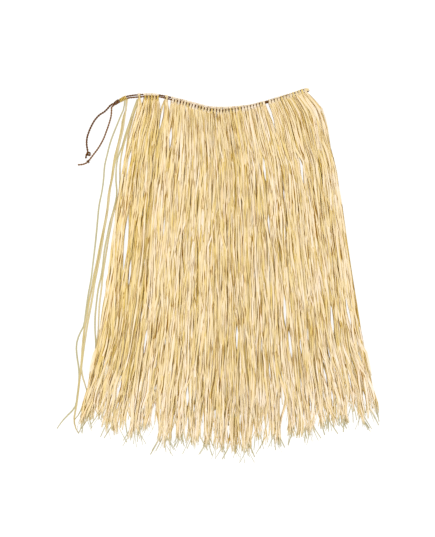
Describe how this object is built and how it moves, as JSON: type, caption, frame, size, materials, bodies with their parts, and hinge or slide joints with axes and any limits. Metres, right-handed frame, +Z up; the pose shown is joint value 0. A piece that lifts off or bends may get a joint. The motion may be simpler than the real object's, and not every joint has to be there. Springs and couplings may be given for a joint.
{
  "type": "raffia grass skirt laid flat",
  "caption": "Grass skirt of raffia strands hitched over a twisted waist cord with tie tails, folded in half and laid flat.",
  "frame": {"origin": "centre of the laid skirt's plan, on the surface that it lies on", "axes": "+Y from hem to waist, +X towards the folded side, +Z up from the surface"},
  "size_m": [0.71, 0.8185, 0.0115],
  "materials": {
    "raffia": "dry matte leaf with a faint satin face",
    "raffia_back": "dry matte leaf, in shade",
    "cord": "rough two-ply twisted fibre"
  },
  "bodies": {
    "root": {"fringe_front": "raffia", "fringe_front_left": "raffia", "fringe_wisp": "raffia", "fringe_back": "raffia_back", "waist_cord": "cord", "join_knot": "cord", "tie_tail_a": "cord", "tie_tail_b": "cord", "tail_knot_a": "cord", "tail_knot_b": "cord"}
  },
  "joints": []
}
